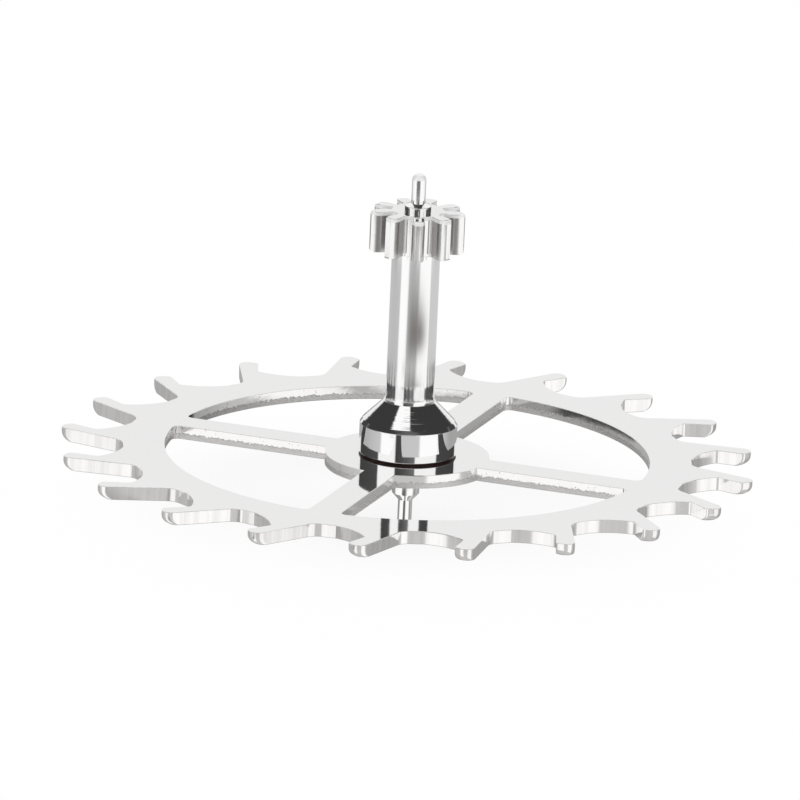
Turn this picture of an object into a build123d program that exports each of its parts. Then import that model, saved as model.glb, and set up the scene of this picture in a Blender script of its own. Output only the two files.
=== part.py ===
from build123d import *
import os
from math import cos, hypot, radians, sin

# Lengths are in millimetres and angles in degrees.
# The origin is the tip of the lower pivot, +Z runs up the arbor and +X lies along one arm.

# Club teeth of the wheel: drops inwards from the heel, and leads in degrees clockwise from the tip
tooth_count = 20
tip_behind_arm = 5.3
heel_radius = 2.76
heel_lead = 0.28
toe_drop = 0.13
toe_lead = 2.55
locking_drop = 0.2
locking_end_lead = 0.2
gullet_drop = 0.138
gullet_lead = 2.7
floor_drop = 0.092
gullet_end_lead = 7.0
trailing_foot_lag = 6.6
heel_rounding = 0.07
locking_rounding = 0.035
trailing_fillet = 0.12
impulse_land = 0.036
impulse_bevel_depth = 0.06
bevel_overreach = 0.03
toe_radius = heel_radius - toe_drop
locking_end_radius = toe_radius - locking_drop
gullet_radius = locking_end_radius - gullet_drop
root_radius = gullet_radius - floor_drop

# Radii of the arbor, each stepped from the one that it stands on
pivot_radius = 0.055
pivot_rounding = 0.045
shoulder_step = 0.051
seat_step = 0.044
foot_step = 0.045
shaft_relief = 0.008
shoulder_radius = pivot_radius + shoulder_step
seat_radius = shoulder_radius + seat_step
foot_radius = seat_radius + foot_step
shaft_radius = foot_radius - shaft_relief

# Leaves of the pinion
leaf_count = 9
leaf_phase = 11.5
leaf_height = 0.324
leaf_root_step = 0.015
leaf_dedendum = 0.088
leaf_addendum = 0.079
leaf_half_thickness = 0.05
leaf_tip_flat = 0.02
leaf_top_rounding = 0.03
leaf_bottom_rounding = 0.018
leaf_root_radius = shaft_radius + leaf_root_step
leaf_pitch_radius = leaf_root_radius + leaf_dedendum
leaf_tip_radius = leaf_pitch_radius + leaf_addendum

# Collet that carries the plate, pressed on the seat of the arbor
collet_top_land = 0.006
collet_cone_width = 0.155
collet_chamfer = 0.022
collet_wall_height = 0.246
collet_chamfer_height = 0.031
collet_cone_height = 0.152
collet_foot_groove = 0.02
spigot_wall = 0.09
rivet_lip_width = 0.035
rivet_lip_thickness = 0.03
collet_top_radius = foot_radius + collet_top_land
cone_foot_radius = collet_top_radius + collet_cone_width
collet_radius = cone_foot_radius + collet_chamfer
spigot_radius = seat_radius + spigot_wall
rivet_lip_radius = spigot_radius + rivet_lip_width

# Plate of the wheel
plate_thickness = 0.105
rim_width = 0.323
boss_land = 0.257
arm_count = 4
arm_half_width = 0.13
arm_fillet = 0.055
rim_inner_radius = root_radius - rim_width
boss_radius = collet_radius + boss_land

# Lengths along the axis
lower_pivot_length = 0.235
lower_cone_height = 0.057
lower_shoulder_height = 0.178
foot_height = 0.3
shaft_height = 0.902
upper_shoulder_height = 0.057
upper_cone_height = 0.02
top_pivot_length = 0.233

# Levels up the axis that the pieces share
lip_bottom = lower_pivot_length + lower_cone_height + lower_shoulder_height
plate_bottom = lip_bottom + rivet_lip_thickness
plate_top = plate_bottom + plate_thickness
wall_top = plate_top + collet_wall_height
cone_foot = wall_top + collet_chamfer_height
collet_top = cone_foot + collet_cone_height
leaves_bottom = collet_top + foot_height + shaft_height
leaves_top = leaves_bottom + leaf_height


def on_circle(radius, angle):
    """A plan point at this radius, the angle counted anticlockwise from +X."""
    return (radius * cos(radians(angle)), radius * sin(radians(angle)))


def tooth_edges(tip_angle):
    """The edges of one club tooth, from the foot of its back to the floor before the next tooth."""
    next_tip = tip_angle - 360 / tooth_count
    foot = on_circle(root_radius, tip_angle + trailing_foot_lag)
    heel = on_circle(heel_radius, tip_angle - heel_lead)
    toe = on_circle(toe_radius, tip_angle - toe_lead)
    locking_end = on_circle(locking_end_radius, tip_angle - locking_end_lead)
    gullet = on_circle(gullet_radius, tip_angle - gullet_lead)
    floor_start = on_circle(root_radius, tip_angle - gullet_end_lead)
    floor_end_angle = next_tip + trailing_foot_lag
    floor_middle = on_circle(root_radius, (tip_angle - gullet_end_lead + floor_end_angle) / 2)
    floor_end = on_circle(root_radius, floor_end_angle)
    return [
        Line(foot, heel),
        Line(heel, toe),
        Line(toe, locking_end),
        ThreePointArc(locking_end, gullet, floor_start),
        ThreePointArc(floor_start, floor_middle, floor_end),
    ]


def rounded_at(face, radius_wanted, angle_wanted, rounding):
    """The face with one corner of every tooth rounded, the corner given by radius and lead."""
    for k in range(tooth_count):
        tip_angle = -tip_behind_arm - k * 360 / tooth_count
        x, y = on_circle(radius_wanted, tip_angle - angle_wanted)
        corner = face.vertices().sort_by(lambda v: hypot(v.X - x, v.Y - y))[0]
        face = face.fillet_2d(rounding, [corner])
    return face


def toothed_face():
    """The whole outline of the plate, with its twenty club teeth."""
    edges = []
    for k in range(tooth_count):
        edges += tooth_edges(-tip_behind_arm - k * 360 / tooth_count)
    face = Face(Wire(edges))
    face = rounded_at(face, heel_radius, heel_lead, heel_rounding)
    face = rounded_at(face, locking_end_radius, locking_end_lead, locking_rounding)
    return rounded_at(face, root_radius, -trailing_foot_lag, trailing_fillet)


def impulse_cut():
    """What the bevel under the impulse face of one tooth takes away, for a tooth tip along +X."""
    heel = on_circle(heel_radius, -heel_lead)
    toe = on_circle(toe_radius, -toe_lead)
    length = hypot(toe[0] - heel[0], toe[1] - heel[1])
    along = ((toe[0] - heel[0]) / length, (toe[1] - heel[1]) / length, 0)
    outward = (-along[1], along[0], 0)
    start = (heel[0] - along[0] * bevel_overreach, heel[1] - along[1] * bevel_overreach, 0)
    section = Plane(origin=start, x_dir=outward, z_dir=along) * make_face(
        Polyline(
            (0, plate_thickness - impulse_land),
            (-impulse_bevel_depth, 0),
            (-impulse_bevel_depth, -bevel_overreach),
            (bevel_overreach, -bevel_overreach),
            (bevel_overreach, plate_thickness - impulse_land),
            close=True,
        )
    )
    return extrude(section, amount=length + 2 * bevel_overreach, dir=along)


def window_face():
    """One opening between two neighbouring arms, its corners rounded at the rim and sharp at the boss."""
    half_pitch = radians(360 / arm_count / 2)
    inner_reach = (boss_radius**2 - arm_half_width**2) ** 0.5
    outer_reach = (rim_inner_radius**2 - arm_half_width**2) ** 0.5
    inner_start = (inner_reach, arm_half_width)
    outer_start = (outer_reach, arm_half_width)
    outer_end = (arm_half_width, outer_reach)
    inner_end = (arm_half_width, inner_reach)
    outer_middle = (rim_inner_radius * cos(half_pitch), rim_inner_radius * sin(half_pitch))
    inner_middle = (boss_radius * cos(half_pitch), boss_radius * sin(half_pitch))
    face = Face(
        Wire(
            [
                Line(inner_start, outer_start),
                ThreePointArc(outer_start, outer_middle, outer_end),
                Line(outer_end, inner_end),
                ThreePointArc(inner_end, inner_middle, inner_start),
            ]
        )
    )
    far_corners = face.vertices().sort_by(lambda v: hypot(v.X, v.Y))[-2:]
    return face.fillet_2d(arm_fillet, far_corners)


def make_wheel():
    """The flat plate: club teeth, rim, four arms and the boss with the bore for the collet."""
    plate = extrude(toothed_face(), amount=plate_thickness, dir=(0, 0, 1))
    window = extrude(window_face(), amount=plate_thickness, dir=(0, 0, 1))
    for k in range(arm_count):
        plate -= Rot(0, 0, k * 360 / arm_count) * window
    plate -= Cylinder(spigot_radius, plate_thickness, align=(Align.CENTER, Align.CENTER, Align.MIN))
    cut = impulse_cut()
    for k in range(tooth_count):
        plate -= Rot(0, 0, -tip_behind_arm - k * 360 / tooth_count) * cut
    return Pos(0, 0, plate_bottom) * plate


def turned(points):
    """A solid turned about the axis from its half profile of radius and height."""
    profile = Plane.XZ * make_face(Polyline(*points, close=True))
    return revolve(profile, axis=Axis.Z)


def make_collet():
    """The collet: a coned hub above the plate, a spigot through it and a riveted lip below it."""
    return turned(
        [
            (seat_radius, lip_bottom),
            (rivet_lip_radius, lip_bottom),
            (rivet_lip_radius, plate_bottom),
            (spigot_radius, plate_bottom),
            (spigot_radius, plate_top),
            (collet_radius - collet_foot_groove, plate_top),
            (collet_radius, plate_top + collet_foot_groove),
            (collet_radius, wall_top),
            (cone_foot_radius, cone_foot),
            (collet_top_radius, collet_top),
            (seat_radius, collet_top),
        ]
    )


def quarter_round(start, end, centre):
    """A quarter arc of the profile from start to end about this centre."""
    middle_share = 2**-0.5
    middle = (
        centre[0] + (start[0] + end[0] - 2 * centre[0]) * middle_share,
        centre[1] + (start[1] + end[1] - 2 * centre[1]) * middle_share,
    )
    return ThreePointArc(start, middle, end)


def leaf_blank():
    """The turned blank of the leaves, rounded over at both ends."""
    low = leaf_bottom_rounding
    high = leaf_top_rounding
    low_side = (leaf_tip_radius, leaves_bottom + low)
    high_side = (leaf_tip_radius, leaves_top - high)
    low_face = (leaf_tip_radius - low, leaves_bottom)
    high_face = (leaf_tip_radius - high, leaves_top)
    edges = [
        Line((0, leaves_bottom), low_face),
        quarter_round(low_face, low_side, (low_face[0], low_side[1])),
        Line(low_side, high_side),
        quarter_round(high_side, high_face, (high_face[0], high_side[1])),
        Line(high_face, (0, leaves_top)),
        Line((0, leaves_top), (0, leaves_bottom)),
    ]
    return revolve(Plane.XZ * Face(Wire(edges)), axis=Axis.Z)


def leaf_face():
    """One leaf in plan along +X: radial flanks up to the pitch circle, then an ogive to the tip."""
    rise = leaf_half_thickness - leaf_tip_flat
    ogive_radius = (leaf_addendum**2 + rise**2) / (2 * rise)
    half_chord = leaf_addendum / 2
    sweep_drop = ogive_radius - (ogive_radius**2 - half_chord**2) ** 0.5
    middle = (leaf_pitch_radius + half_chord, leaf_half_thickness - sweep_drop)
    inner_half = leaf_half_thickness * leaf_root_radius / leaf_pitch_radius
    reach = (leaf_root_radius**2 - inner_half**2) ** 0.5
    start = (leaf_pitch_radius, leaf_half_thickness)
    crest = (leaf_tip_radius, leaf_tip_flat)
    return Face(
        Wire(
            [
                Line((0, 0), (reach, inner_half)),
                Line((reach, inner_half), start),
                ThreePointArc(start, middle, crest),
                Line(crest, (crest[0], -crest[1])),
                ThreePointArc((crest[0], -crest[1]), (middle[0], -middle[1]), (start[0], -start[1])),
                Line((start[0], -start[1]), (reach, -inner_half)),
                Line((reach, -inner_half), (0, 0)),
            ]
        )
    )


def make_leaves():
    """The nine leaves on their root cylinder, trimmed to the turned blank."""
    bar = Circle(leaf_root_radius).face()
    leaves = extrude(bar, amount=leaf_height, dir=(0, 0, 1))
    leaf = extrude(leaf_face(), amount=leaf_height, dir=(0, 0, 1))
    for k in range(leaf_count):
        leaves += Rot(0, 0, leaf_phase + k * 360 / leaf_count) * leaf
    return (Pos(0, 0, leaves_bottom) * leaves) & leaf_blank()


def pivot(length):
    """One pivot standing on the plan plane, its far end rounded over."""
    pin = Cylinder(pivot_radius, length, align=(Align.CENTER, Align.CENTER, Align.MIN))
    return fillet(pin.edges().sort_by(Axis.Z)[-1:], pivot_rounding)


def arbor_below():
    """The arbor from the lower pivot to the underside of the leaves."""
    shoulder_bottom = lower_pivot_length + lower_cone_height
    foot_top = collet_top + foot_height
    body = turned(
        [
            (0, lower_pivot_length),
            (pivot_radius, lower_pivot_length),
            (shoulder_radius, shoulder_bottom),
            (shoulder_radius, lip_bottom),
            (seat_radius, lip_bottom),
            (seat_radius, collet_top),
            (foot_radius, collet_top),
            (foot_radius, foot_top),
            (shaft_radius, foot_top),
            (shaft_radius, leaves_bottom),
            (0, leaves_bottom),
        ]
    )
    return body + Pos(0, 0, lower_pivot_length) * Rot(180, 0, 0) * pivot(lower_pivot_length)


def arbor_above():
    """The shoulder and the top pivot, standing on the face of the leaves."""
    shoulder_top = leaves_top + upper_shoulder_height
    body = turned(
        [
            (0, leaves_top),
            (shoulder_radius, leaves_top),
            (shoulder_radius, shoulder_top - upper_cone_height),
            (pivot_radius, shoulder_top),
            (0, shoulder_top),
        ]
    )
    return body + Pos(0, 0, shoulder_top) * pivot(top_pivot_length)


def make_pinion():
    """The pinion: arbor, seat, leaves, shoulders and both pivots in one piece."""
    return arbor_below() + make_leaves() + arbor_above()


os.makedirs("parts", exist_ok=True)
export_step(make_wheel(), "parts/escape_wheel.step")
export_step(make_collet(), "parts/wheel_collet.step")
export_step(make_pinion(), "parts/escape_pinion.step")
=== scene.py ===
from math import asin, atan2, cos, degrees, exp, hypot, pi, radians, sin, sqrt

import bpy
from mathutils import Matrix, Vector
from mathutils.geometry import tessellate_polygon


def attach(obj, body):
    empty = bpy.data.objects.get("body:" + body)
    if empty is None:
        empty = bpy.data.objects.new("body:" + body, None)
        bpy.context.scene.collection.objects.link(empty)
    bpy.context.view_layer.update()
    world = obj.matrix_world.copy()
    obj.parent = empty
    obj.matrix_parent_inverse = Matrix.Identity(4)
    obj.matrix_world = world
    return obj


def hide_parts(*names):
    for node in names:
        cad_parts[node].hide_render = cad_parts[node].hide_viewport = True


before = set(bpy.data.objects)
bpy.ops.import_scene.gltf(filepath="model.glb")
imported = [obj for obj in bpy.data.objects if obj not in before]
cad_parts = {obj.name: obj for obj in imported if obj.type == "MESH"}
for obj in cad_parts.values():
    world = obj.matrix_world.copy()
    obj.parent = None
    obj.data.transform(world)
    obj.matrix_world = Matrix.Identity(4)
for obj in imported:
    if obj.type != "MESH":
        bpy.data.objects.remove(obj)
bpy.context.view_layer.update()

# Shapes are worked out in millimetres in the row frame and made in metres
MM = 0.001

# Club teeth of the wheel
TOOTH_COUNT = 20
TIP_BEHIND_ARM = 5.3
HEEL = (2.76, 0.28)
TOE = (2.63, 2.55)
LOCKING_END = (2.43, 0.2)
GULLET = (2.292, 2.7)
ROOT_RADIUS = 2.2
GULLET_END_LEAD = 7.0
TRAILING_FOOT_LAG = 6.6
HEEL_ROUNDING = 0.07
LOCKING_ROUNDING = 0.035
TOE_ROUNDING = 0.028
TRAILING_FILLET = 0.12
IMPULSE_LAND = 0.036
IMPULSE_BEVEL_DEPTH = 0.075
BEVEL_STEPS = 6
# How far the bevel reaches round the heel, and how much more the toe is rounded where it is deeper
HEEL_SHARE = 0.8
TOE_SHARE = 0.3

# Plate
PLATE_BOTTOM = 0.5
PLATE_TOP = 0.605
RIM_INNER_RADIUS = 1.877
BOSS_RADIUS = 0.635
ARM_HALF_WIDTH = 0.13
ARM_FILLET = 0.055
ARM_COUNT = 4
EDGE_BREAK = 0.004
EDGE_TILT = 76

# Collet
SEAT_RADIUS = 0.15
SPIGOT_RADIUS = 0.24
LIP_RADIUS = 0.275
LIP_BOTTOM = 0.47
FOOT_GROOVE = 0.02
COLLET_RADIUS = 0.378
WALL_TOP = 0.851
CONE_FOOT_RADIUS = 0.356
CONE_FOOT = 0.882
COLLET_TOP_RADIUS = 0.201
COLLET_TOP = 1.034
LIP_ROUNDING = 0.01
GROOVE_ROUNDING = 0.006
WALL_TOP_ROUNDING = 0.008
CONE_FOOT_ROUNDING = 0.006
CONE_TOP_ROUNDING = 0.003

# Arbor and leaves
PIVOT_RADIUS = 0.055
PIVOT_ROUNDING = 0.045
LOWER_PIVOT_TOP = 0.235
SHOULDER_BOTTOM = 0.292
SHOULDER_RADIUS = 0.106
SHOULDER_ROUNDING = 0.01
SHAFT_RADIUS = 0.187
SHAFT_ROWS = 64
# The shaft's foot: how steeply it flares at the collet, over which height, and a faint step higher up
FLARE_SLOPE = 0.3
FLARE_HEIGHT = 0.02
STEP_SLOPE = 0.0265
STEP_LEVELS = (1.168, 1.192, 1.34)
LEAVES_BOTTOM = 2.236
LEAVES_TOP = 2.56
LEAF_COUNT = 9
LEAF_PHASE = 11.5
LEAF_ROOT_RADIUS = 0.202
LEAF_PITCH_RADIUS = 0.29
LEAF_TIP_RADIUS = 0.369
LEAF_HALF_THICKNESS = 0.05
LEAF_TIP_FLAT = 0.02
LEAF_TOP_ROUNDING = 0.03
LEAF_BOTTOM_ROUNDING = 0.018
LEAF_ROOT_FILLET = 0.018
LEAF_EDGE = 0.004
LEAF_END_STEPS = 4
LEAF_ARC_STEPS = 6
UPPER_CONE_BOTTOM = 2.597
UPPER_SHOULDER_TOP = 2.617
UPPER_CONE_ROUNDING = 0.006
TOP_PIVOT_END = 2.85

# How finely things are drawn: degrees and millimetres for one straight stretch, and faces round the axis
CURVE_STEP = 6.0
WINDOW_STEP = 2.0
PROFILE_STEP = 12.0
LONGEST_STRETCH = 0.05
MOST_STRETCHES = 24
BARREL_COUNT = 360
SHOULDER_COUNT = 240
PIVOT_COUNT = 96
CIRCLE_COUNT = 128
# How often a search halves its range, and how many points to the millimetre are told apart
HALVINGS = 60
JOIN_GRID = 1e5
# The least sum of two unit normals that still sets a mitre, and when two radii are the same
SHARPEST_MITRE = 0.4
SAME = 1e-9

# The photograph's long-lens view
VIEW_AZIMUTH = 19.5
VIEW_ELEVATION = 15.858
VIEW_ROLL = 2.53
FRAME_PIXELS = 800
PIXELS_PER_MM = 349.43 / 2.7
WHEEL_PIXEL = (407.24, 453.04)


def on_circle(radius, angle):
    return (radius * cos(radians(angle)), radius * sin(radians(angle)))


# Plan and profile curves: a line is (p, q), an arc is (centre, radius, start, sweep) in radians


def is_arc(curve):
    return len(curve) == 4


def arc_through(p, m, q):
    """The arc from p over m to q."""
    ax, ay, bx, by, cx, cy = *p, *m, *q
    d = 2 * (ax * (by - cy) + bx * (cy - ay) + cx * (ay - by))
    a2, b2, c2 = ax * ax + ay * ay, bx * bx + by * by, cx * cx + cy * cy
    ux = (a2 * (by - cy) + b2 * (cy - ay) + c2 * (ay - by)) / d
    uy = (a2 * (cx - bx) + b2 * (ax - cx) + c2 * (bx - ax)) / d
    start = atan2(ay - uy, ax - ux)
    turn = 1 if (bx - ax) * (cy - ay) - (by - ay) * (cx - ax) > 0 else -1
    sweep = (atan2(cy - uy, cx - ux) - start) * turn % (2 * pi) * turn
    return ((ux, uy), hypot(ax - ux, ay - uy), start, sweep)


def at(curve, t):
    """The point and the unit tangent at the share t of a curve."""
    if is_arc(curve):
        (cx, cy), radius, start, sweep = curve
        a = start + sweep * t
        turn = 1 if sweep > 0 else -1
        return (cx + radius * cos(a), cy + radius * sin(a)), (-sin(a) * turn, cos(a) * turn)
    (px, py), (qx, qy) = curve
    length = hypot(qx - px, qy - py)
    return (px + (qx - px) * t, py + (qy - py) * t), ((qx - px) / length, (qy - py) / length)


def cut(curve, t0, t1):
    """The part of a curve between two shares."""
    if is_arc(curve):
        centre, radius, start, sweep = curve
        return (centre, radius, start + sweep * t0, sweep * (t1 - t0))
    return (at(curve, t0)[0], at(curve, t1)[0])


def nearest(curve, point):
    """The share of the curve, or of its continuation, that lies nearest to a point."""
    x, y = point
    if is_arc(curve):
        (cx, cy), _, start, sweep = curve
        turned = (atan2(y - cy, x - cx) - start - sweep / 2 + pi) % (2 * pi) - pi
        return (turned + sweep / 2) / sweep
    (px, py), (qx, qy) = curve
    dx, dy = qx - px, qy - py
    return ((x - px) * dx + (y - py) * dy) / (dx * dx + dy * dy)


def corner_rounded(before, after, radius):
    """The two curves trimmed back, and the arc of this radius that joins them."""
    (_, (ax, ay)), (_, (bx, by)) = at(before, 1), at(after, 0)
    side = 1 if ax * by - ay * bx > 0 else -1
    low, high = 0.0, 1.0
    for _ in range(HALVINGS):
        t = (low + high) / 2
        (x, y), (tx, ty) = at(before, t)
        centre = (x - ty * side * radius, y + tx * side * radius)
        s = max(nearest(after, centre), 0)
        (qx, qy), _ = at(after, s)
        if hypot(qx - centre[0], qy - centre[1]) > radius:
            low = t
        else:
            high = t
    start = atan2(y - centre[1], x - centre[0])
    sweep = (atan2(qy - centre[1], qx - centre[0]) - start) * side % (2 * pi) * side
    return cut(before, 0, t), (centre, radius, start, sweep), cut(after, s, 1)


def with_corners_rounded(curves, roundings):
    """A closed row of curves with the corner after curve i rounded by roundings[i]."""
    out = list(curves)
    extra = {}
    for i, radius in roundings.items():
        j = (i + 1) % len(out)
        out[i], extra[i], out[j] = corner_rounded(out[i], out[j], radius)
    made = []
    for i, curve in enumerate(out):
        made.append(curve)
        if i in extra:
            made.append(extra[i])
    return made


def stretches(curves, step=CURVE_STEP):
    """How many straight stretches each curve is drawn with."""
    counts = []
    for curve in curves:
        count = 1
        if is_arc(curve):
            by_angle = abs(degrees(curve[3])) / step
            by_length = abs(curve[3]) * curve[1] / LONGEST_STRETCH
            count = max(2, int(by_angle + 1), min(int(by_length), MOST_STRETCHES))
        counts.append(count)
    return counts


def sampled(curves, counts):
    """A closed outline's points with the normal before and after each, to the right of the travel."""
    points, before, after = [], [], []
    for curve, count in zip(curves, counts):
        for k in range(count):
            (x, y), (tx, ty) = at(curve, k / count)
            points.append((x, y))
            before.append((ty, -tx))
            after.append((ty, -tx))
    first = 0
    for i, count in enumerate(counts):
        _, (tx, ty) = at(curves[i - 1], 1)
        before[first] = (ty, -tx)
        first += count
    return points, before, after


def ring(outline, z, inset=0.0, tilt=0.0):
    """An outline at one level, drawn in by inset, its normals tilted up by tilt degrees."""
    c, s = cos(radians(tilt)), sin(radians(tilt))
    places, before, after = [], [], []
    for (x, y), (ax, ay), (bx, by) in zip(*outline):
        share = inset / max(1 + ax * bx + ay * by, SHARPEST_MITRE)
        places.append((x - (ax + bx) * share, y - (ay + by) * share, z))
        before.append((ax * c, ay * c, s))
        after.append((bx * c, by * c, s))
    return places, before, after


def turned_row(place, tangent, count):
    """A circle about the axis through a profile point, with the normals that its tangent gives."""
    (r, z), (tr, tz) = place, tangent
    r = max(r, 0.0)
    angles = [2 * pi * i / count for i in range(count)]
    places = [(r * cos(a), r * sin(a), z) for a in angles]
    normals = [(tz * cos(a), tz * sin(a), -tr) for a in angles]
    return places, normals, normals


def placed(name, data):
    """A new object in the scene."""
    obj = bpy.data.objects.new(name, data)
    bpy.context.scene.collection.objects.link(obj)
    return obj


class Shell:
    """Faces with a normal at each corner, joined where their points agree."""

    def __init__(self):
        self.index, self.places = {}, []
        self.faces, self.normals, self.slots = [], [], []

    def add(self, corners, normals, slot):
        numbers = []
        for p in corners:
            key = tuple(round(c * JOIN_GRID) for c in p)
            if key not in self.index:
                self.index[key] = len(self.places)
                self.places.append([c * MM for c in p])
            numbers.append(self.index[key])
        kept = [i for i in range(len(numbers)) if numbers[i] != numbers[i - 1]]
        if len({numbers[i] for i in kept}) < 3:
            return
        self.faces.append([numbers[i] for i in kept])
        self.normals += [normals[i] for i in kept]
        self.slots.append(slot)

    def band(self, low, high, slot):
        """Faces between two rings with the same number of points."""
        (p, pb, pa), (q, qb, qa) = low, high
        for i in range(len(p)):
            j = (i + 1) % len(p)
            self.add((p[i], p[j], q[j], q[i]), (pa[i], pb[j], qb[j], qa[i]), slot)

    def bands(self, rings, slot):
        for low, high in zip(rings, rings[1:]):
            self.band(low, high, slot)

    def cap(self, loops, up, slot):
        """A flat face with holes, from rings at one level."""
        lists = [[Vector(p) for p in loop[0]] for loop in loops]
        flat = [p for loop in lists for p in loop]
        normal = (0, 0, 1 if up else -1)
        for tri in tessellate_polygon(lists):
            a, b, c = (flat[i] for i in tri)
            turn = (b - a).cross(c - a).z
            if (turn > 0) != up:
                a, c = c, a
            self.add((tuple(a), tuple(b), tuple(c)), (normal,) * 3, slot)

    def turned(self, curves, slot, count):
        """A surface turned about the axis from profile curves in radius and height."""
        for curve in curves:
            steps = max(2, int(abs(degrees(curve[3])) / PROFILE_STEP + 1)) if is_arc(curve) else 1
            self.bands([turned_row(*at(curve, k / steps), count) for k in range(steps + 1)], slot)

    def piece(self, name, materials):
        mesh = bpy.data.meshes.new(name)
        mesh.from_pydata(self.places, [], self.faces)
        for m in materials:
            mesh.materials.append(m)
        mesh.polygons.foreach_set("use_smooth", [True] * len(self.faces))
        mesh.polygons.foreach_set("material_index", self.slots)
        mesh.normals_split_custom_set(self.normals)
        return placed(name, mesh)


def profile(points, roundings=None):
    """Profile lines through the points, with the corner at some of them rounded."""
    lines = list(zip(points, points[1:]))
    for i in sorted(roundings or {}, reverse=True):
        lines[i - 1 : i + 1] = corner_rounded(lines[i - 1], lines[i], roundings[i])
    return lines


# Wheel


def tooth_curves(tip_angle):
    """One tooth from its foot over heel and toe to the next tooth's foot, clockwise."""
    next_tip = tip_angle - 360 / TOOTH_COUNT
    foot = on_circle(ROOT_RADIUS, tip_angle + TRAILING_FOOT_LAG)
    heel = on_circle(HEEL[0], tip_angle - HEEL[1])
    toe = on_circle(TOE[0], tip_angle - TOE[1])
    locking_end = on_circle(LOCKING_END[0], tip_angle - LOCKING_END[1])
    gullet = on_circle(GULLET[0], tip_angle - GULLET[1])
    floor_start = on_circle(ROOT_RADIUS, tip_angle - GULLET_END_LEAD)
    floor_end_angle = next_tip + TRAILING_FOOT_LAG
    floor_middle = on_circle(ROOT_RADIUS, (tip_angle - GULLET_END_LEAD + floor_end_angle) / 2)
    floor_end = on_circle(ROOT_RADIUS, floor_end_angle)
    return [
        (foot, heel),
        (heel, toe),
        (toe, locking_end),
        arc_through(locking_end, gullet, floor_start),
        arc_through(floor_start, floor_middle, floor_end),
    ]


def reversed_curves(curves):
    """The same outline travelled the other way."""
    out = []
    for curve in reversed(curves):
        if is_arc(curve):
            centre, radius, start, sweep = curve
            out.append((centre, radius, start + sweep, -sweep))
        else:
            out.append((curve[1], curve[0]))
    return out


def wheel_curves(depth=0.0):
    """The wheel's outline, anticlockwise, with its impulse faces moved in by this depth."""
    curves, roundings = [], {}
    for k in range(TOOTH_COUNT):
        base = len(curves)
        curves += tooth_curves(-TIP_BEHIND_ARM - k * 360 / TOOTH_COUNT)
        roundings[base + 2] = LOCKING_ROUNDING
        roundings[base + 4] = TRAILING_FILLET
    curves = with_corners_rounded(curves, roundings)
    per_tooth = len(curves) // TOOTH_COUNT
    made, marked = [], []
    for k in range(0, len(curves), per_tooth):
        trailing, impulse, locking = curves[k : k + 3]
        _, (ax, ay) = at(impulse, 0)
        heel, (tx, ty) = at(trailing, 1)
        toe, (lx, ly) = at(locking, 0)
        down, back = HEEL_SHARE * depth / abs(tx * ay - ty * ax), depth / abs(lx * ay - ly * ax)
        heel = (heel[0] - tx * down, heel[1] - ty * down)
        toe = (toe[0] + lx * back, toe[1] + ly * back)
        trailing, heel_arc, impulse = corner_rounded((trailing[0], heel), (heel, toe), HEEL_ROUNDING)
        toe_curves = corner_rounded(impulse, (toe, locking[1]), TOE_ROUNDING + depth * TOE_SHARE)
        made += [trailing, heel_arc, *toe_curves, *curves[k + 3 : k + per_tooth]]
        marked += [(0, 0), (1, 0), (1, 1), (0, 1)] + [(0, 0)] * (per_tooth - 2)
    return reversed_curves(made), marked[::-1]


def window_outline(turn):
    """The window that follows the arm at this angle, travelled clockwise."""
    inner = sqrt(BOSS_RADIUS**2 - ARM_HALF_WIDTH**2)
    outer = sqrt(RIM_INNER_RADIUS**2 - ARM_HALF_WIDTH**2)
    half = 180 / ARM_COUNT

    def spun(p):
        c, s = cos(radians(turn)), sin(radians(turn))
        return (p[0] * c - p[1] * s, p[0] * s + p[1] * c)

    a, b = spun((inner, ARM_HALF_WIDTH)), spun((outer, ARM_HALF_WIDTH))
    c, d = spun((ARM_HALF_WIDTH, outer)), spun((ARM_HALF_WIDTH, inner))
    curves = [
        (a, b),
        arc_through(b, spun(on_circle(RIM_INNER_RADIUS, half)), c),
        (c, d),
        arc_through(d, spun(on_circle(BOSS_RADIUS, half)), a),
    ]
    curves = reversed_curves(with_corners_rounded(curves, {0: ARM_FILLET, 1: ARM_FILLET}))
    return sampled(curves, stretches(curves, WINDOW_STEP))


def hole_outline(radius):
    """A circle about the axis with its normals inwards."""
    return sampled([((0.0, 0.0), radius, 0.0, -2 * pi)], [CIRCLE_COUNT])


def edge_break(outline, level, up):
    """Rings round a broken edge, from the wall to the flat face."""
    side = 1 if up else -1
    z = level - side * EDGE_BREAK
    return [
        ring(outline, z),
        ring(outline, z, 0.0, side * EDGE_TILT),
        ring(outline, level, EDGE_BREAK, side * 90),
    ]


def leaning(row, marks, tilt):
    """A ring with its marked faces leaning, each end of a face by its share of tilt degrees."""
    places, before, after = row

    def leant(normal, share):
        c, s = cos(radians(tilt * share)), sin(radians(tilt * share))
        return (normal[0] * c, normal[1] * c, s)

    for i, (first, last) in enumerate(marks):
        j = (i + 1) % len(marks)
        after[i], before[j] = leant(after[i], first), leant(before[j], last)
    return places, before, after


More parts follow.
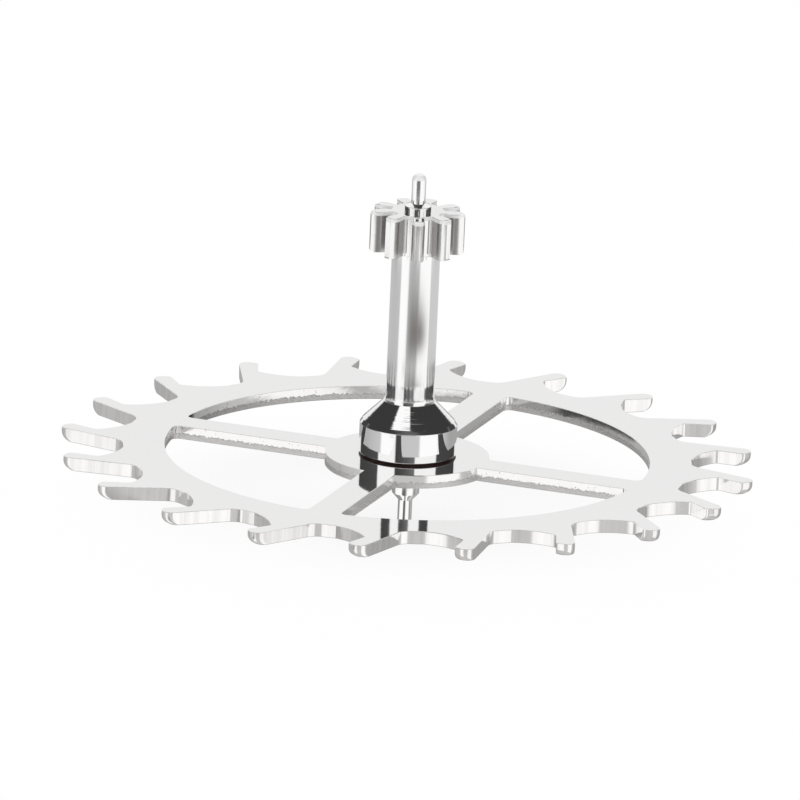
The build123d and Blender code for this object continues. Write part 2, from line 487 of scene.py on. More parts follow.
def tooth_wall(shell, slot):
    """The wheel's outer wall, its impulse faces bevelled from below. Gives its bottom and top rings."""
    curves, marked = wheel_curves()
    counts = stretches(curves)
    marks = []
    for (first, last), count in zip(marked, counts):
        shares = [first + (last - first) * k / count for k in range(count + 1)]
        marks += zip(shares, shares[1:])
    land = PLATE_TOP - IMPULSE_LAND
    height = land - PLATE_BOTTOM
    lowest = asin(1 - EDGE_BREAK / height)
    rows = []
    for k in range(BEVEL_STEPS + 1):
        a = lowest * k / BEVEL_STEPS
        outline = sampled(wheel_curves(IMPULSE_BEVEL_DEPTH * (1 - cos(a)))[0], counts)
        tilt = -degrees(atan2(IMPULSE_BEVEL_DEPTH * sin(a), height * cos(a)))
        rows.append(leaning(ring(outline, land - height * sin(a)), marks, tilt))
    below = edge_break(outline, PLATE_BOTTOM, False)[:0:-1]
    shell.bands(below + rows[::-1], slot)
    above = edge_break(sampled(curves, counts), PLATE_TOP, True)
    shell.bands(rows[:1] + above, slot)
    return below[0], above[-1]


def wheel_plate(materials):
    shell = Shell()
    lapped, cut_edge, window_edge = range(3)
    ends = [tooth_wall(shell, cut_edge)]
    for k in range(ARM_COUNT):
        outline = window_outline(k * 360 / ARM_COUNT)
        rings = edge_break(outline, PLATE_BOTTOM, False)[::-1] + edge_break(outline, PLATE_TOP, True)
        shell.bands(rings, window_edge)
        ends.append((rings[0], rings[-1]))
    bore = hole_outline(SPIGOT_RADIUS)
    shell.band(ring(bore, PLATE_BOTTOM), ring(bore, PLATE_TOP), lapped)
    shell.cap([top for _, top in ends] + [ring(bore, PLATE_TOP)], True, lapped)
    shell.cap([bottom for bottom, _ in ends] + [ring(bore, PLATE_BOTTOM)], False, lapped)
    return shell.piece("wheel_plate", materials)


# Collet


def coned_collet(materials):
    shell = Shell()
    points = [
        (SEAT_RADIUS, LIP_BOTTOM),
        (LIP_RADIUS, LIP_BOTTOM),
        (LIP_RADIUS, PLATE_BOTTOM),
        (SPIGOT_RADIUS, PLATE_BOTTOM),
        (SPIGOT_RADIUS, PLATE_TOP),
        (COLLET_RADIUS - FOOT_GROOVE, PLATE_TOP),
        (COLLET_RADIUS, PLATE_TOP + FOOT_GROOVE),
        (COLLET_RADIUS, WALL_TOP),
        (CONE_FOOT_RADIUS, CONE_FOOT),
        (COLLET_TOP_RADIUS, COLLET_TOP),
        (SEAT_RADIUS, COLLET_TOP),
        (SEAT_RADIUS, LIP_BOTTOM),
    ]
    roundings = {
        1: LIP_ROUNDING,
        6: GROOVE_ROUNDING,
        7: WALL_TOP_ROUNDING,
        8: CONE_FOOT_ROUNDING,
        9: CONE_TOP_ROUNDING,
    }
    wall, cone, seam = range(3)
    for curve in profile(points, roundings):
        (r, z), _ = at(curve, 0.5)
        slot = wall
        if z > CONE_FOOT:
            slot = cone
        elif PLATE_TOP < z < PLATE_TOP + FOOT_GROOVE and r > SPIGOT_RADIUS:
            slot = seam
        shell.turned([curve], slot, BARREL_COUNT)
    return shell.piece("coned_collet", materials)


# Arbor with its leaves


def arbor_profile():
    """The arbor from the lower pivot's tip up to the shaft's foot."""
    points = [
        (0.0, 0.0),
        (PIVOT_RADIUS, 0.0),
        (PIVOT_RADIUS, LOWER_PIVOT_TOP),
        (SHOULDER_RADIUS, SHOULDER_BOTTOM),
        (SHOULDER_RADIUS, LIP_BOTTOM),
        (SEAT_RADIUS, LIP_BOTTOM),
        (SEAT_RADIUS, COLLET_TOP),
        (SHAFT_RADIUS, COLLET_TOP),
    ]
    return profile(points, {1: PIVOT_ROUNDING, 3: SHOULDER_ROUNDING})


def shaft_slope(z):
    """How fast the shaft widens downwards: softly above its foot, and quickly where it meets the collet."""
    low, peak, high = STEP_LEVELS
    step = max(min((z - low) / (peak - low), (high - z) / (high - peak)), 0)
    return FLARE_SLOPE * exp((COLLET_TOP - z) / FLARE_HEIGHT) + STEP_SLOPE * step


def shaft_rows(count):
    """The shaft's circles from the leaves down, turned to run upwards."""
    rows, radius, z = [], SHAFT_RADIUS, LEAVES_BOTTOM
    for k in range(SHAFT_ROWS, -1, -1):
        lower = COLLET_TOP + (LEAVES_BOTTOM - COLLET_TOP) * (k / SHAFT_ROWS) ** 2
        radius += (z - lower) * (shaft_slope(z) + shaft_slope(lower)) / 2
        z = lower
        length = hypot(shaft_slope(z), 1)
        rows.append(turned_row((radius, z), (-shaft_slope(z) / length, 1 / length), count))
    return rows[::-1]


def upper_profile():
    """The arbor from the leaves' top face to the top pivot's end."""
    points = [
        (SHOULDER_RADIUS, LEAVES_TOP),
        (SHOULDER_RADIUS, UPPER_CONE_BOTTOM),
        (PIVOT_RADIUS, UPPER_SHOULDER_TOP),
        (PIVOT_RADIUS, TOP_PIVOT_END),
        (0.0, TOP_PIVOT_END),
    ]
    return profile(points, {1: UPPER_CONE_ROUNDING, 3: PIVOT_ROUNDING})


def leaf_half(reach):
    """The side of one leaf along +X from its root to this radius, as curves, and where it ends."""
    rise = LEAF_HALF_THICKNESS - LEAF_TIP_FLAT
    addendum = LEAF_TIP_RADIUS - LEAF_PITCH_RADIUS
    ogive = (addendum**2 + rise**2) / (2 * rise)
    centre = (LEAF_PITCH_RADIUS, LEAF_HALF_THICKNESS - ogive)
    inner_half = LEAF_HALF_THICKNESS * LEAF_ROOT_RADIUS / LEAF_PITCH_RADIUS
    root = (sqrt(LEAF_ROOT_RADIUS**2 - inner_half**2), inner_half)
    pitch = (LEAF_PITCH_RADIUS, LEAF_HALF_THICKNESS)
    low, high = radians(45), radians(90)
    for _ in range(HALVINGS):
        a = (low + high) / 2
        end = (centre[0] + ogive * cos(a), centre[1] + ogive * sin(a))
        if hypot(*end) > reach:
            low = a
        else:
            high = a
    return [(root, pitch), (centre, ogive, radians(90), a - radians(90))], end


def leaves_outline(reach):
    """All leaves in plan, cut off at this radius, travelled anticlockwise."""
    side, end = leaf_half(reach)
    root = side[0][0]
    root_angle = atan2(root[1], root[0])
    end_angle = atan2(end[1], end[0])
    mirrored = []
    for curve in side:
        if is_arc(curve):
            (cx, cy), radius, start, sweep = curve
            mirrored.append(((cx, -cy), radius, -start, -sweep))
        else:
            mirrored.append(tuple((x, -y) for x, y in curve))
    leaf = mirrored + [((0.0, 0.0), reach, -end_angle, 2 * end_angle)] + reversed_curves(side)
    gap = 2 * pi / LEAF_COUNT - 2 * root_angle
    leaf.append(((0.0, 0.0), LEAF_ROOT_RADIUS, root_angle, gap))
    curves, roundings = [], {}
    for k in range(LEAF_COUNT):
        turn = radians(LEAF_PHASE + 360 / LEAF_COUNT * k)
        c, s = cos(turn), sin(turn)
        base = len(curves)
        for curve in leaf:
            if is_arc(curve):
                (x, y), radius, start, sweep = curve
                curves.append(((x * c - y * s, x * s + y * c), radius, start + turn, sweep))
            else:
                curves.append(tuple((x * c - y * s, x * s + y * c) for x, y in curve))
        roundings[base + 4] = LEAF_ROOT_FILLET
        roundings[base + 5] = LEAF_ROOT_FILLET
    curves = with_corners_rounded(curves, roundings)
    crests = [is_arc(curve) and abs(curve[1] - reach) < SAME for curve in curves]
    return curves, crests


def leaf_levels():
    """How far the leaves reach at each level, with the crests' slope there, from the bottom to the top."""
    low, high = LEAF_BOTTOM_ROUNDING, LEAF_TOP_ROUNDING
    levels = []
    for k in range(LEAF_END_STEPS + 1):
        a = radians(90 * k / LEAF_END_STEPS - 90)
        levels.append((LEAF_TIP_RADIUS - low * (1 - cos(a)), LEAVES_BOTTOM + low * (1 + sin(a)), a))
    for k in range(LEAF_END_STEPS + 1):
        a = radians(90 * k / LEAF_END_STEPS)
        levels.append((LEAF_TIP_RADIUS - high * (1 - cos(a)), LEAVES_TOP - high * (1 - sin(a)), a))
    return levels


def arbor_and_leaves(materials):
    shell = Shell()
    turned_slot, leaf_slot, soft_slot = range(3)
    shell.turned(arbor_profile(), turned_slot, BARREL_COUNT)
    shell.bands(shaft_rows(BARREL_COUNT), turned_slot)
    shell.turned(upper_profile()[:-2], turned_slot, SHOULDER_COUNT)
    shell.turned(upper_profile()[-2:], soft_slot, PIVOT_COUNT)
    rings, outlines = [], []
    for reach, z, slope in leaf_levels():
        curves, crests = leaves_outline(reach)
        counts = [LEAF_ARC_STEPS if is_arc(curve) else 1 for curve in curves]
        marks = [(crest, crest) for crest, count in zip(crests, counts) for _ in range(count)]
        z = min(max(z, LEAVES_BOTTOM + LEAF_EDGE), LEAVES_TOP - LEAF_EDGE)
        outlines.append(sampled(curves, counts))
        rings.append(leaning(ring(outlines[-1], z), marks, degrees(slope)))
    shell.bands(rings[: LEAF_END_STEPS + 2], leaf_slot)
    shell.bands(rings[LEAF_END_STEPS + 1 :], soft_slot)
    half = LEAF_EDGE * (1 - cos(radians(45)))
    bottom, top = outlines[0], outlines[-1]
    upper = [
        ring(top, LEAVES_TOP - LEAF_EDGE),
        ring(top, LEAVES_TOP - half, half, 45),
        ring(top, LEAVES_TOP, LEAF_EDGE, 90),
    ]
    lower = [ring(bottom, LEAVES_BOTTOM, LEAF_EDGE, -90), ring(bottom, LEAVES_BOTTOM + LEAF_EDGE)]
    shell.bands(upper, leaf_slot)
    shell.bands(lower, leaf_slot)
    shoulder = hole_outline(SHOULDER_RADIUS)
    shaft = hole_outline(SHAFT_RADIUS)
    shell.cap([upper[-1], ring(shoulder, LEAVES_TOP)], True, leaf_slot)
    shell.cap([lower[0], ring(shaft, LEAVES_BOTTOM)], False, leaf_slot)
    return shell.piece("arbor_and_leaves", materials)


# Nodes


class Nodes:
    """Short ways to make and link nodes."""

    def __init__(self, owner):
        owner.use_nodes = True
        self.tree = owner.node_tree
        self.tree.nodes.clear()

    def new(self, kind, **settings):
        node = self.tree.nodes.new(kind)
        for name, value in settings.items():
            setattr(node, name, value)
        return node

    def put(self, socket, value):
        if isinstance(value, bpy.types.NodeSocket):
            self.tree.links.new(value, socket)
        elif value is not None:
            socket.default_value = value

    def math(self, operation, a, b=None, clamp=False):
        node = self.new("ShaderNodeMath", operation=operation, use_clamp=clamp)
        for socket, value in zip(node.inputs, (a, b)):
            self.put(socket, value)
        return node.outputs[0]

    def product(self, first, *others):
        """All factors multiplied in turn."""
        for other in others:
            first = self.math("MULTIPLY", first, other)
        return first

    def mapped(self, value, low, high, out_low=0.0, out_high=1.0, smooth=False):
        node = self.new("ShaderNodeMapRange", interpolation_type="SMOOTHSTEP" if smooth else "LINEAR")
        self.put(node.inputs["Value"], value)
        self.put(node.inputs["From Min"], low)
        self.put(node.inputs["From Max"], high)
        self.put(node.inputs["To Min"], out_low)
        self.put(node.inputs["To Max"], out_high)
        return node.outputs["Result"]

    def between(self, value, rise, fall, smooth=False):
        """One where the value lies between two soft edges, and nothing elsewhere."""
        rising = self.mapped(value, *rise, smooth=smooth)
        return self.product(rising, self.mapped(value, *fall, smooth=smooth))

    def mixed(self, factor, a, b):
        """A colour between two colours."""
        node = self.new("ShaderNodeMix", data_type="RGBA")
        self.put(node.inputs["Factor"], factor)
        self.put(node.inputs[6], a)
        self.put(node.inputs[7], b)
        return node.outputs[2]

    def blended(self, factor, a, b):
        """A number between two numbers."""
        node = self.new("ShaderNodeMix", data_type="FLOAT")
        self.put(node.inputs["Factor"], factor)
        self.put(node.inputs[2], a)
        self.put(node.inputs[3], b)
        return node.outputs[0]

    def ramp(self, factor, stops):
        """A tone that runs straight from stop to stop."""
        node = self.new("ShaderNodeValToRGB")
        elements = node.color_ramp.elements
        while len(elements) > 1:
            elements.remove(elements[0])
        for i, (place, tone) in enumerate(stops):
            element = elements.new(place) if i else elements[0]
            element.position = place
            element.color = (tone, tone, tone, 1)
        self.put(node.inputs["Fac"], factor)
        return node.outputs["Color"]

    def place(self, per_mm=(1, 1, 1)):
        """The place on the piece, in millimetres times these factors."""
        where = self.new("ShaderNodeTexCoord")
        node = self.new("ShaderNodeVectorMath", operation="MULTIPLY")
        self.put(node.inputs[0], where.outputs["Object"])
        node.inputs[1].default_value = [s / MM for s in per_mm]
        return node.outputs[0]

    def height(self):
        """The height on the piece in metres."""
        split = self.new("ShaderNodeSeparateXYZ")
        self.put(split.inputs[0], self.new("ShaderNodeTexCoord").outputs["Object"])
        return split.outputs["Z"]

    def reach(self):
        """The distance from the axis in millimetres."""
        node = self.new("ShaderNodeVectorMath", operation="LENGTH")
        self.put(node.inputs[0], self.place((1, 1, 0)))
        return node.outputs["Value"]

    def noise(self, per_mm, detail=2.0, rough=0.5):
        """Noise with this many swells to the millimetre each way."""
        node = self.new("ShaderNodeTexNoise")
        self.put(node.inputs["Vector"], self.place(per_mm))
        node.inputs["Scale"].default_value = 1.0
        node.inputs["Detail"].default_value = detail
        node.inputs["Roughness"].default_value = rough
        return node.outputs[0]

    def spread(self, noise, low=0.0, high=1.0):
        """A noise's usual span stretched between two bounds."""
        return self.mapped(noise, *NOISE_SPAN, low, high)

    def away(self, a, b, place):
        """How far the point (a, b) lies from a place."""
        da, db = self.math("SUBTRACT", a, place[0]), self.math("SUBTRACT", b, place[1])
        return self.math("SQRT", self.math("ADD", self.product(da, da), self.product(db, db)))

    def bump(self, height, depth):
        node = self.new("ShaderNodeBump")
        self.put(node.inputs["Height"], height)
        node.inputs["Distance"].default_value = depth * MM
        return node.outputs[0]

    def steel(self, colour, roughness, normal=None, metallic=1.0):
        shader = self.new("ShaderNodeBsdfPrincipled")
        shader.inputs["Metallic"].default_value = metallic
        self.put(shader.inputs["Base Color"], colour)
        self.put(shader.inputs["Roughness"], roughness)
        self.put(shader.inputs["Normal"], normal)
        self.shown(shader)

    def either(self, factor, first, second):
        """The first shader's node where the factor is nothing, and the second's where it is one."""
        mix = self.new("ShaderNodeMixShader")
        self.put(mix.inputs[0], factor)
        self.tree.links.new(first.outputs[0], mix.inputs[1])
        self.tree.links.new(second.outputs[0], mix.inputs[2])
        return mix

    def shown(self, shader, output="ShaderNodeOutputMaterial"):
        self.tree.links.new(shader.outputs[0], self.new(output).inputs["Surface"])


def grey(v, tint=0.0):
    """A steel colour, cooler where tint is positive and warmer where it is negative."""
    return (v * (1 - tint), v, v * (1 + tint), 1.0)


# Materials: sizes in millimetres, noise in swells to the millimetre

NOISE_SPAN = (0.3, 0.7)
# The torn part of the windows' edges: its soft upper border above the underside, and how ragged that is
TORN_BORDER = (0.086, 0.08)
TORN_RAGGED = 0.08
PIT_SPAN = (0.66, 0.72)
# The leaves' flanks, rougher and painted darker as the shade between the leaves: their borders by radius,
# and how far this stays below the top face
SHADED_FLANK_INNER = (0.21, 0.22)
SHADED_FLANK_OUTER = (0.342, 0.326)
SHADED_FLANK_TOP = (0.002, 0.006)


def material(name):
    """A new material and its nodes."""
    made = bpy.data.materials.new(name)
    return made, Nodes(made)


def lapped_steel():
    """The flat faces of the wheel: lapped bright, with faint cloud and the finest lapping grain."""
    made, n = material("lapped_steel")
    cloud = n.noise((0.6, 0.6, 0.6), 3.0)
    grain = n.noise((60, 60, 60))
    lapped = n.mixed(n.spread(grain), grey(0.91, -0.004), grey(0.955, -0.004))
    colour = n.mixed(cloud, lapped, grey(0.955, -0.002))
    n.steel(colour, n.spread(grain, 0.035, 0.06), n.bump(grain, 0.00006))
    return made


def cut_steel():
    """The teeth's edges: bright, with a few upright marks of the cutter."""
    made, n = material("cut_steel")
    broad = n.noise((5, 5, 0.3))
    fine = n.noise((26, 26, 1))
    marks = n.math("ADD", n.product(broad, 0.8), n.product(fine, 0.2))
    colour = n.mixed(n.mapped(fine, 0.3, 0.6), grey(0.86, -0.012), grey(0.97, -0.012))
    n.steel(colour, n.spread(marks, 0.08, 0.16), n.bump(marks, 0.0013))
    return made


def sheared_steel():
    """The windows' edges: burnished above and torn below, as a punch leaves them."""
    made, n = material("sheared_steel")
    ragged = n.noise((38, 38, 38), 4.0, 0.7)
    level = n.math("ADD", n.height(), n.product(ragged, TORN_RAGGED * MM))
    torn = n.mapped(level, *((PLATE_BOTTOM + border) * MM for border in TORN_BORDER))
    streaks = n.noise((9, 9, 9), 3.0)
    crumbs = n.noise((70, 70, 50), 3.0, 0.7)
    pits = n.mapped(n.noise((45, 45, 30)), *PIT_SPAN)
    bright = n.mixed(pits, n.mixed(streaks, grey(0.9, -0.01), grey(0.97, -0.01)), grey(0.6, -0.02))
    colour = n.mixed(torn, bright, n.mixed(crumbs, grey(0.6, -0.02), grey(0.8, -0.02)))
    height = n.blended(torn, n.product(streaks, 0.1), crumbs)
    n.steel(colour, n.blended(torn, 0.1, 0.4), n.bump(height, 0.006))
    return made


def turned_steel(name, lines, smooth, soft):
    """Turned and burnished steel with turning lines of this depth and a roughness between two bounds."""
    made, n = material(name)
    cloud = n.noise((3, 3, 3), 3.0)
    colour = n.mixed(cloud, grey(0.95, -0.006), grey(0.99, 0.002))
    normal = n.bump(n.noise((1.5, 1.5, 55), 3.0, 0.6), lines) if lines else None
    n.steel(colour, n.spread(cloud, smooth, soft), normal)
    return made


def leaf_steel():
    """Cut leaves, polished along their length, with rougher flanks painted darker as the shade between the
    leaves.
    """
    made, n = material("leaf_steel")
    along = n.noise((60, 60, 3))
    cloud = n.noise((6, 6, 3))
    below_face = n.mapped(n.height(), *((LEAVES_TOP - gap) * MM for gap in SHADED_FLANK_TOP))
    rough_shaded_flank = n.product(n.between(n.reach(), SHADED_FLANK_INNER, SHADED_FLANK_OUTER), below_face)
    bright = n.mixed(cloud, grey(0.9, -0.006), grey(0.97, -0.006))
    # Painted shade: the flanks between the leaves take a darker grey
    colour = n.mixed(rough_shaded_flank, bright, n.mixed(along, grey(0.52, -0.02), grey(0.7, -0.015)))
    n.steel(colour, n.blended(rough_shaded_flank, n.spread(along, 0.05, 0.12), 0.3), n.bump(along, 0.0004))
    return made


def seam_oil_and_shade():
    """The groove under the collet, painted dark as the shade in the groove, with a brown trace of oil."""
    made, n = material("seam_oil_and_shade")
    spots = n.noise((12, 12, 12))
    # Painted shade in the groove, tinted brown as oil
    colour = n.mixed(spots, (0.03, 0.018, 0.015, 1), (0.1, 0.06, 0.05, 1))
    n.steel(colour, n.spread(spots, 0.4, 0.6), metallic=0.5)
    return made


def rounded_steel():
    """The rounded ends of the leaves and of the pivot: tumbled softer than their sides."""
    made, n = material("rounded_steel")
    grain = n.noise((40, 40, 40))
    colour = n.mixed(grain, grey(0.9), grey(0.97))
    n.steel(colour, n.spread(grain, 0.34, 0.44), n.bump(grain, 0.0003), metallic=0.3)
    return made


# Studio: tones by azimuth in degrees, zero towards the camera and positive to its right

WHITE = (1, 1, 1, 1)
STEEP_TABLE = (0.55, 0.55, 0.54, 1)
SHADE_COLOUR = (0.03, 0.02, 0.01, 1)
BEHIND_SHADE_COLOUR = (0.02, 0.02, 0.02, 1)
TEETH_REFLECTION_COLOUR = (0.34, 0.335, 0.33, 1)

# What metal sees of the world: the far table, the level walls with two soft boxes, and the share of
# each direction that counts as a side and not as the back
TABLE_TONES = [
    (-180, 0.4), (-110, 0.44), (-95, 0.5), (-69, 0.56), (-64, 1.0), (-26, 1.0), (-22, 0.56),
    (26, 0.57), (31, 1.0), (79, 1.0), (84, 0.56), (97, 0.5), (110, 0.4), (122, 0.36), (180, 0.38),
]
LEVEL_TONES = [
    (-180, 0.86), (-148, 0.86), (-144, 0.05), (-95, 0.06), (-74, 0.07), (-71, 0.95),
    (-30, 0.95), (-27, 0.05), (-12, 0.07), (0, 0.1), (17, 0.16), (20, 0.94),
    (71, 0.94), (74, 0.06), (144, 0.05), (148, 0.86), (180, 0.86),
]
SIDES = [(-180, 0.0), (-148, 0.0), (-144, 1.0), (144, 1.0), (148, 0.0), (180, 0.0)]

# Borders in the world by height of the ray, each soft from its first to its second value
STEEP_BORDER = (-0.8, -0.7)
HORIZON = (-0.02, 0.02)
WALL_TOP_BORDER = (0.35, 0.39)
CEILING_BORDER = (0.65, 0.8)
CEILING_TONES = (0.93, 0.78)

# The dark flags round the ceiling, as a ring about a place, drawn in at the front
FLAG_TONE = 0.04
FLAG_CENTRE = (-0.35, 0.0)
FLAG_INNER = (0.48, 0.54)
FLAG_OUTER = (0.82, 0.76)
FLAG_FRONT = (-0.6, 0.0, 0.0, 0.16)

# The white panel overhead: its edges to the right, to the front and by height
PANEL_ACROSS = ((-0.44, -0.41), (0.06, 0.03))
PANEL_DEEP = ((0.01, 0.04), (0.34, 0.31))
PANEL_HEIGHT = (0.5, 0.6)

# Painted reflections on the table close by: the tones that the upright walls at each level of the arbor
# mirror
NEAR_TONES = [
    (-180, 0.28), (-97, 0.3), (-86, 1.0), (-32, 1.0), (-25, 0.12), (-2, 0.12), (10, 0.7), (15, 1.0),
    (56, 1.0), (68, 0.3), (90, 0.3), (96, 1.0), (138, 1.0), (145, 0.35), (180, 0.3),
]
SHAFT_TONES = [
    (-180, 0.56), (-100, 0.5), (-71, 0.52), (-66, 1.0), (-31, 1.0), (-26, 0.5), (-17, 0.44),
    (19, 0.47), (27, 1.0), (79, 1.0), (84, 0.6), (180, 0.62),
]
LEAVES_TONES = [
    (-180, 0.24), (-99, 0.26), (-93, 1.0), (-30, 1.0), (-20, 0.7), (-3, 0.54), (5, 0.6), (8, 1.0),
    (96, 1.0), (102, 0.3), (180, 0.24),
]
PIVOT_TONES = [
    (-180, 0.5), (-122, 0.55), (-114, 1.0), (-42, 1.0), (-36, 0.08), (22, 0.08), (28, 1.0),
    (114, 1.0), (122, 0.55), (180, 0.5),
]
END_TONES = [
    (-180, 0.2), (-78, 0.2), (-71, 1.0), (-31, 1.0), (-26, 0.1), (16, 0.12), (22, 1.0),
    (76, 1.0), (82, 0.3), (180, 0.3),
]
SHAFT_BORDER = (2.0, 2.1)
LEAVES_BORDER = (8.05, 8.15)
PIVOT_BORDER = (9.28, 9.31)
END_BORDER = (10.2, 10.8)

# A soft shade on the table in front: its strength by azimuth, and by distance from the axis
SHADE_ACROSS = [
    (-38, 0.0), (-28, 0.12), (-17, 0.44), (-5, 0.74), (20, 0.78), (28, 0.98), (40, 0.92), (53, 0.7),
    (66, 0.36), (82, 0.0),
]
SHADE_ALONG = [
    (5.05, 0.0), (5.19, 0.1), (5.4, 0.55), (5.61, 1.0), (5.95, 1.0), (6.24, 0.82), (6.46, 0.63),
    (6.88, 0.32), (7.2, 0.12), (7.5, 0.0),
]
SHADE_SPAN = (4.5, 8.5)
# Between these azimuths the shade's fall steepens by this power
SHADE_TURN = (28, 56)
SHADE_POWERS = (1.0, 2.2)

# Painted shade on the table behind, seen by the inside of the rim: a part of a ring about a place
BEHIND_SHADE_CENTRE = (-0.75, 0.75)
BEHIND_SHADE_RING = ((1.44, 1.5), (2.2, 2.1))
BEHIND_SHADE_FRONT = (-0.85, -1.0)
BEHIND_SHADE_RIGHT = (0.45, 0.3)

# A grey patch on the table, a painted reflection that the left teeth see
TEETH_REFLECTION_PATCH = [(-42, 0.0), (-40, 1.0), (-31, 1.0), (-29, 0.0)]
TEETH_REFLECTION_RING = ((3.4, 3.45), (4.9, 4.8))

# Where the table shows its painted reflection tones and not the world's: close to the axis but for one arm,
# and far out
BESIDE_ARM = [(-180, 1.0), (92, 1.0), (95, 0.0), (139, 0.0), (142, 1.0), (180, 1.0)]
CLOSE_BORDER = (1.36, 1.34)
FAR_BORDER = (4.8, 4.9)

# The floor: its half size in metres, and how much it glows from the middle of the wheel's shadow outwards
FLOOR_HALF = 0.5
SHADOW_CENTRE = (-0.8, 0.0)
SHADOW_BORDER = (1.0, 2.8)
GLOW_SHARES = (0.82, 0.98)

CAMERA_DISTANCE = 0.05
CAMERA_CLIP = (0.001, 2.0)


def of_turn(azimuth):
    """An azimuth in degrees as a share of the whole turn, from behind over the left."""
    return (azimuth + 180) / 360


def facing(n, vector):
    """How far a vector reaches to the camera's side and to its right, its height and its azimuth."""
    turn = n.new("ShaderNodeVectorRotate", rotation_type="Z_AXIS")
    n.put(turn.inputs["Vector"], vector)
    turn.inputs["Angle"].default_value = radians(90 - VIEW_AZIMUTH)
    split = n.new("ShaderNodeSeparateXYZ")
    n.put(split.inputs[0], turn.outputs[0])
    front, right, up = split.outputs
    return front, right, up, n.mapped(n.math("ARCTAN2", right, front), -pi, pi)


def round_about(n, azimuth, tones):
    """The tone that a table gives for each azimuth."""
    return n.ramp(azimuth, [(of_turn(a), tone) for a, tone in tones])


def glowing(n, colour):
    """A glow of this colour at strength one."""
    glow = n.new("ShaderNodeEmission")
    n.put(glow.inputs["Color"], colour)
    glow.inputs["Strength"].default_value = 1.0
    return glow


def studio_world():
    """White to the camera. Metal sees a pale table, two soft boxes, a pale back wall and dark sides."""
    world = bpy.data.worlds.new("studio")
    bpy.context.scene.world = world
    n = Nodes(world)
    front, right, up, azimuth = facing(n, n.new("ShaderNodeTexCoord").outputs["Generated"])
    table = n.mixed(n.mapped(up, *STEEP_BORDER), STEEP_TABLE, round_about(n, azimuth, TABLE_TONES))
    sides = round_about(n, azimuth, SIDES)
    aside = n.away(front, right, FLAG_CENTRE)
    beyond = n.math("SUBTRACT", aside, n.mapped(front, *FLAG_FRONT))
    flags = n.product(sides, n.mapped(aside, *FLAG_INNER), n.mapped(beyond, *FLAG_OUTER))
    ceiling = n.blended(n.math("MAXIMUM", sides, n.mapped(up, *CEILING_BORDER)), *CEILING_TONES)
    high = n.blended(flags, ceiling, FLAG_TONE)
    overhead = n.product(
        n.between(right, *PANEL_ACROSS, smooth=True),
        n.between(front, *PANEL_DEEP, smooth=True),
        n.mapped(up, *PANEL_HEIGHT),
    )
    upper = n.mixed(n.mapped(up, *WALL_TOP_BORDER), round_about(n, azimuth, LEVEL_TONES), high)
    upper = n.mixed(overhead, upper, WHITE)
    seen = n.mixed(n.mapped(up, *HORIZON), table, upper)
    path = n.new("ShaderNodeLightPath")
    plain = n.math("ADD", path.outputs["Is Camera Ray"], path.outputs["Is Diffuse Ray"], clamp=True)
    back = n.new("ShaderNodeBackground")
    n.put(back.inputs["Color"], n.mixed(plain, seen, WHITE))
    back.inputs["Strength"].default_value = 1.0
    n.shown(back, "ShaderNodeOutputWorld")


def mirrored_table(n):
    """Painted reflections and painted shade that only metal sees, glowing on the table close by: under the
    pivot, and round where the arbor looks down.
    """
    front, right, _, azimuth = facing(n, n.place())
    reach = n.reach()
    across = round_about(n, azimuth, SHADE_ACROSS)
    low, high = SHADE_SPAN
    stops = [((r - low) / (high - low), tone) for r, tone in SHADE_ALONG]
    along = n.ramp(n.mapped(reach, low, high), stops)
    steepness = n.mapped(azimuth, *(of_turn(a) for a in SHADE_TURN), *SHADE_POWERS)
    shade = n.product(across, n.math("POWER", along, steepness))
    colour = n.mixed(shade, round_about(n, azimuth, SHAFT_TONES), SHADE_COLOUR)
    for tones, border in (
        (LEAVES_TONES, LEAVES_BORDER),
        (PIVOT_TONES, PIVOT_BORDER),
        (END_TONES, END_BORDER),
    ):
        colour = n.mixed(n.mapped(reach, *border), colour, round_about(n, azimuth, tones))
    colour = n.mixed(n.mapped(reach, *SHAFT_BORDER), round_about(n, azimuth, NEAR_TONES), colour)
    # Painted shade behind the axis: a dark patch that the inside of the rim mirrors
    behind_shade = n.product(
        n.between(n.away(front, right, BEHIND_SHADE_CENTRE), *BEHIND_SHADE_RING),
        n.mapped(front, *BEHIND_SHADE_FRONT),
        n.mapped(right, *BEHIND_SHADE_RIGHT),
    )
    colour = n.mixed(behind_shade, colour, BEHIND_SHADE_COLOUR)
    # Painted reflection: a grey patch that darkens the left teeth
    teeth_reflection = n.product(round_about(n, azimuth, TEETH_REFLECTION_PATCH), n.between(reach, *TEETH_REFLECTION_RING))
    colour = n.mixed(teeth_reflection, colour, TEETH_REFLECTION_COLOUR)
    close = n.product(n.mapped(reach, *CLOSE_BORDER), round_about(n, azimuth, BESIDE_ARM))
    shown = n.math("ADD", close, n.mapped(reach, *FAR_BORDER))
    shown = n.math("MAXIMUM", shown, n.math("MAXIMUM", behind_shade, teeth_reflection))
    return n.either(shown, n.new("ShaderNodeBsdfTransparent"), glowing(n, colour))


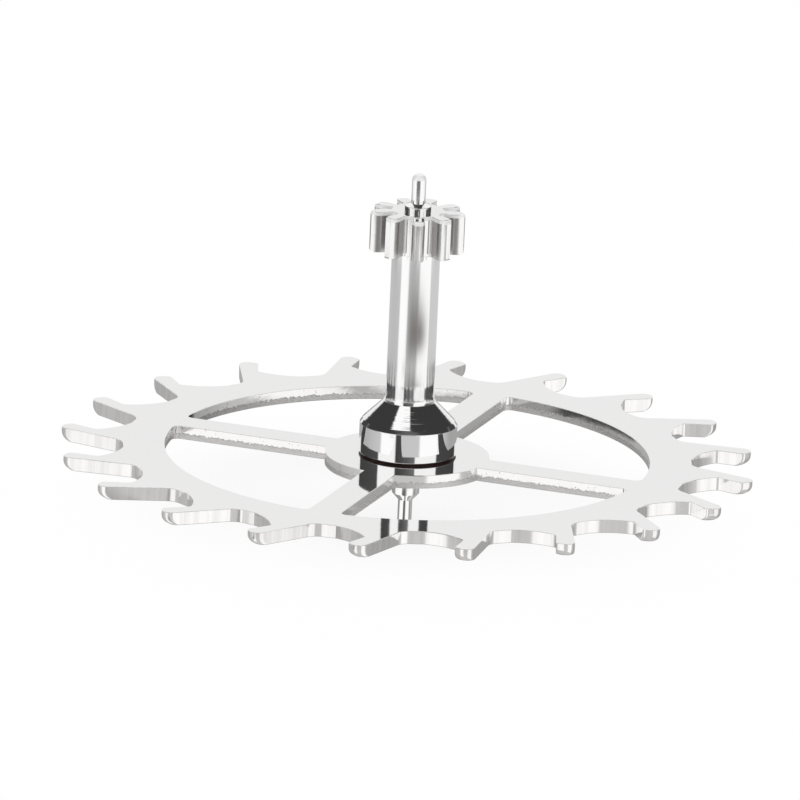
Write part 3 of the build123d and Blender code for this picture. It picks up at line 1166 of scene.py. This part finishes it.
def pale_floor():
    """The white table. It keeps a trace of the wheel's shadow."""
    half = FLOOR_HALF
    mesh = bpy.data.meshes.new("floor")
    corners = [(-half, -half, 0), (half, -half, 0), (half, half, 0), (-half, half, 0)]
    mesh.from_pydata(corners, [], [(0, 1, 2, 3)])
    made, n = material("white_table")
    diffuse = n.new("ShaderNodeBsdfDiffuse")
    n.put(diffuse.inputs["Color"], n.mixed(n.noise((0.2, 0.2, 0.2)), grey(0.93), grey(0.96)))
    front, right, _, _ = facing(n, n.place())
    glow_share = n.mapped(n.away(front, right, SHADOW_CENTRE), *SHADOW_BORDER, *GLOW_SHARES, smooth=True)
    white = n.either(glow_share, diffuse, glowing(n, WHITE))
    path = n.new("ShaderNodeLightPath")
    # Glossy rays see the painted reflections and painted shade in place of the white table
    n.shown(n.either(path.outputs["Is Glossy Ray"], white, mirrored_table(n)))
    mesh.materials.append(made)
    placed("floor", mesh)


def photo_camera():
    """The photograph's view, a long lens taken as parallel."""
    e, roll = radians(VIEW_ELEVATION), radians(VIEW_ROLL)
    spin = Matrix.Rotation(radians(VIEW_AZIMUTH), 3, "Z")
    across = spin @ Vector((1, 0, 0))
    down = spin @ Vector((0, -sin(e), -cos(e)))
    forward = spin @ Vector((0, cos(e), -sin(e)))
    right = across * cos(roll) - down * sin(roll)
    below = across * sin(roll) + down * cos(roll)
    pixel = MM / PIXELS_PER_MM
    middle = Vector((0, 0, PLATE_TOP * MM))
    middle -= right * (WHEEL_PIXEL[0] - FRAME_PIXELS / 2) * pixel
    middle -= below * (WHEEL_PIXEL[1] - FRAME_PIXELS / 2) * pixel
    data = bpy.data.cameras.new("camera")
    data.type = "ORTHO"
    data.ortho_scale = FRAME_PIXELS * pixel
    data.clip_start, data.clip_end = CAMERA_CLIP
    camera = placed("camera", data)
    basis = Matrix((right, -below, -forward)).transposed().to_4x4()
    camera.matrix_world = Matrix.Translation(middle - forward * CAMERA_DISTANCE) @ basis
    bpy.context.scene.camera = camera


# Turning lines in millimetres deep, and the roughness at its smoothest and its softest
wheel = wheel_plate([lapped_steel(), cut_steel(), sheared_steel()])
collet = coned_collet(
    [
        turned_steel("collet_steel", 0.0002, 0.03, 0.06),
        turned_steel("cone_steel", 0.0015, 0.04, 0.08),
        seam_oil_and_shade(),
    ]
)
arbor = arbor_and_leaves([turned_steel("arbor_steel", 0, 0.08, 0.1), leaf_steel(), rounded_steel()])
for piece, node, slot in (
    (wheel, "escape_wheel", "wheel_steel"),
    (collet, "wheel_collet", "collet_steel"),
    (arbor, "escape_pinion", "pinion_steel"),
):
    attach(piece, "root")
    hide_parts(node)

studio_world()
pale_floor()
photo_camera()
bpy.context.scene.view_settings.view_transform = "Standard"
